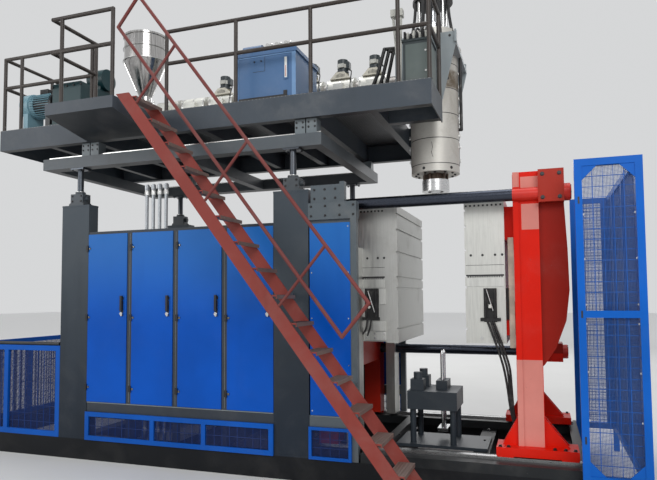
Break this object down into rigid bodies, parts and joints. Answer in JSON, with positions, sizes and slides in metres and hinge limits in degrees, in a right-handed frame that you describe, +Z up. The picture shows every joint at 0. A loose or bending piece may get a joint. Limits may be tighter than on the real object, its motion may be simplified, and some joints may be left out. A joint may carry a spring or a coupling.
{
  "type": "blow moulding machine",
  "caption": "Blow moulding machine: a raised extruder deck with hopper and accumulator head over a sliding clamp, with cabinet doors, stair and guards.",
  "frame": {"origin": "on the floor, at the centre of the anchor holes of the base skid", "axes": "+X along the machine from the hopper's end to the clamp, -Y towards the stair's side, +Z up"},
  "size_m": [7.688, 2.98, 5.4],
  "materials": {
    "base_paint": "satin black machine paint",
    "column_paint": "satin slate paint",
    "jack_paint": "satin grey-green paint",
    "frame_paint": "satin dark slate paint",
    "shell_paint": "satin slate paint",
    "hinge_black": "black zinc",
    "door_blue": "glossy blue powder coat",
    "handle_black": "black plastic",
    "plate_zinc": "zinc plated sheet",
    "tank_paint": "satin blue paint",
    "pump_paint": "satin teal paint",
    "pipe_steel": "drawn steel pipe",
    "guard_blue": "glossy blue paint",
    "fence_blue": "glossy blue paint",
    "bed_paint": "worn dark paint",
    "rail_steel": "ground steel",
    "station_paint": "satin grey paint",
    "pin_steel": "chrome plated",
    "stair_red": "matt brick red primer",
    "stair_rail_red": "matt brick red primer",
    "lift_grey": "satin grey paint",
    "slide_steel": "ground steel",
    "jack_steel": "oiled steel",
    "deck_paint": "satin grey-blue paint",
    "deck_tread": "worn chequer plate",
    "handrail_brown": "dark brown-black paint",
    "block_steel": "satin grey paint",
    "motor_paint": "light steel-blue paint",
    "gear_teal": "dark teal paint",
    "barrel_steel": "heat tinted steel",
    "heater_shell": "dull sheet metal",
    "blower_cowl": "pale sheet cowl, dark motor",
    "screw_steel": "nitrided steel",
    "hopper_steel": "polished stainless",
    "unit_blue": "satin blue paint",
    "valve_metal": "blue paint and bright valves",
    "box_green": "grey-green textured paint",
    "bracket_grey": "light grey paint",
    "head_metal": "beige-grey machined steel",
    "die_steel": "bright turned steel",
    "cylinder_black": "black paint, bright rods",
    "ram_steel": "hard chrome",
    "hose_black": "black pipe",
    "platen_grey": "ground steel",
    "platen_silver": "ground steel",
    "yoke_red": "glossy red paint",
    "tie_dark": "oiled chrome"
  },
  "bodies": {
    "frame": {"base_skid": "base_paint", "columns": "column_paint", "jack_housings": "jack_paint", "cabinet_frame": "frame_paint", "cabinet_shell": "shell_paint", "door_hinges": "hinge_black", "switchgear_plate": "plate_zinc", "hydraulic_tank": "tank_paint", "pump_motor": "pump_paint", "riser_pipes": "pipe_steel", "side_panel": "door_blue", "clamp_header": "column_paint", "lower_panels": "guard_blue", "left_guard": "guard_blue", "right_guard": "fence_blue", "clamp_bed": "bed_paint", "guide_rails": "rail_steel", "blow_station": "station_paint", "stair": "stair_red", "stair_handrail": "stair_rail_red"},
    "door_1": {"door_1": "door_blue"},
    "handle_1": {"handle_1": "handle_black"},
    "door_2": {"door_2": "door_blue"},
    "handle_2": {"handle_2": "handle_black"},
    "door_3": {"door_3": "door_blue"},
    "handle_3": {"handle_3": "handle_black"},
    "door_4": {"door_4": "door_blue"},
    "handle_4": {"handle_4": "handle_black"},
    "blow_pins": {"blow_pins": "pin_steel"},
    "lift": {"lift_beams": "lift_grey", "slide_rails": "slide_steel", "jack_screws": "jack_steel"},
    "platform": {"platform_frame": "deck_paint", "deck_plate": "deck_tread", "landing": "deck_paint", "platform_handrail": "handrail_brown", "slide_blocks": "block_steel", "drive_motor": "motor_paint", "gearbox": "gear_teal", "barrel": "barrel_steel", "heater_bands": "heater_shell", "barrel_blowers": "blower_cowl", "hopper": "hopper_steel", "power_unit": "unit_blue", "valve_block": "valve_metal", "control_box": "box_green", "head_bracket": "bracket_grey", "head_body": "head_metal", "die_ring": "die_steel", "head_cylinder": "cylinder_black", "head_hoses": "hose_black"},
    "screw": {"extruder_screw": "screw_steel"},
    "ram": {"head_ram": "ram_steel"},
    "mandrel": {"die_mandrel": "die_steel"},
    "clamp_right": {"platen_right": "platen_silver", "yoke_right": "yoke_red", "yoke_left": "yoke_red", "tie_bars": "tie_dark"},
    "clamp_left": {"platen_left": "platen_grey", "clamp_rod": "ram_steel"}
  },
  "joints": [
    {"name": "door_1_hinge", "type": "hinge", "parent": "frame", "child": "door_1", "pos_m": [-1.618, -1.131, 1.6], "axis": [0, 0, -1], "range_deg": [0, 110]},
    {"name": "handle_1_turn", "type": "hinge", "parent": "door_1", "child": "handle_1", "pos_m": [-1.1495, -1.122, 1.8], "axis": [0, 1, 0], "range_deg": [0, 90]},
    {"name": "door_2_hinge", "type": "hinge", "parent": "frame", "child": "door_2", "pos_m": [-1.0255, -1.131, 1.6], "axis": [0, 0, -1], "range_deg": [0, 110]},
    {"name": "handle_2_turn", "type": "hinge", "parent": "door_2", "child": "handle_2", "pos_m": [-0.557, -1.122, 1.8], "axis": [0, 1, 0], "range_deg": [0, 90]},
    {"name": "door_3_hinge", "type": "hinge", "parent": "frame", "child": "door_3", "pos_m": [-0.433, -1.131, 1.6], "axis": [0, 0, -1], "range_deg": [0, 110]},
    {"name": "handle_3_turn", "type": "hinge", "parent": "door_3", "child": "handle_3", "pos_m": [0.0355, -1.122, 1.8], "axis": [0, 1, 0], "range_deg": [0, 90]},
    {"name": "door_4_hinge", "type": "hinge", "parent": "frame", "child": "door_4", "pos_m": [0.1595, -1.131, 1.6], "axis": [0, 0, -1], "range_deg": [0, 20]},
    {"name": "handle_4_turn", "type": "hinge", "parent": "door_4", "child": "handle_4", "pos_m": [0.628, -1.122, 1.8], "axis": [0, 1, 0], "range_deg": [0, 90]},
    {"name": "blow_pin_slide", "type": "slide", "parent": "frame", "child": "blow_pins", "axis": [0, 0, 1], "range_m": [0, 0.22]},
    {"name": "platform_lift", "type": "slide", "parent": "frame", "child": "lift", "axis": [0, 0, 1], "range_m": [-0.18, 0.15]},
    {"name": "platform_slide", "type": "slide", "parent": "lift", "child": "platform", "axis": [1, 0, 0], "range_m": [-0.25, 0.02]},
    {"name": "screw_turn", "type": "hinge", "parent": "platform", "child": "screw", "pos_m": [0, 0, 4.23], "axis": [1, 0, 0], "continuous": true},
    {"name": "ram_slide", "type": "slide", "parent": "platform", "child": "ram", "axis": [0, 0, 1], "range_m": [0, 0.18]},
    {"name": "mandrel_slide", "type": "slide", "parent": "platform", "child": "mandrel", "axis": [0, 0, 1], "range_m": [0, 0.012]},
    {"name": "clamp_close", "type": "slide", "parent": "frame", "child": "clamp_right", "axis": [-1, 0, 0], "range_m": [0, 0.3]},
    {"name": "clamp_left_close", "type": "slide", "parent": "frame", "child": "clamp_left", "axis": [1, 0, 0], "range_m": [0, 0.3]}
  ],
  "couplings": [
    {"joint": "clamp_left_close", "follows": "clamp_close", "ratio": 1}
  ]
}
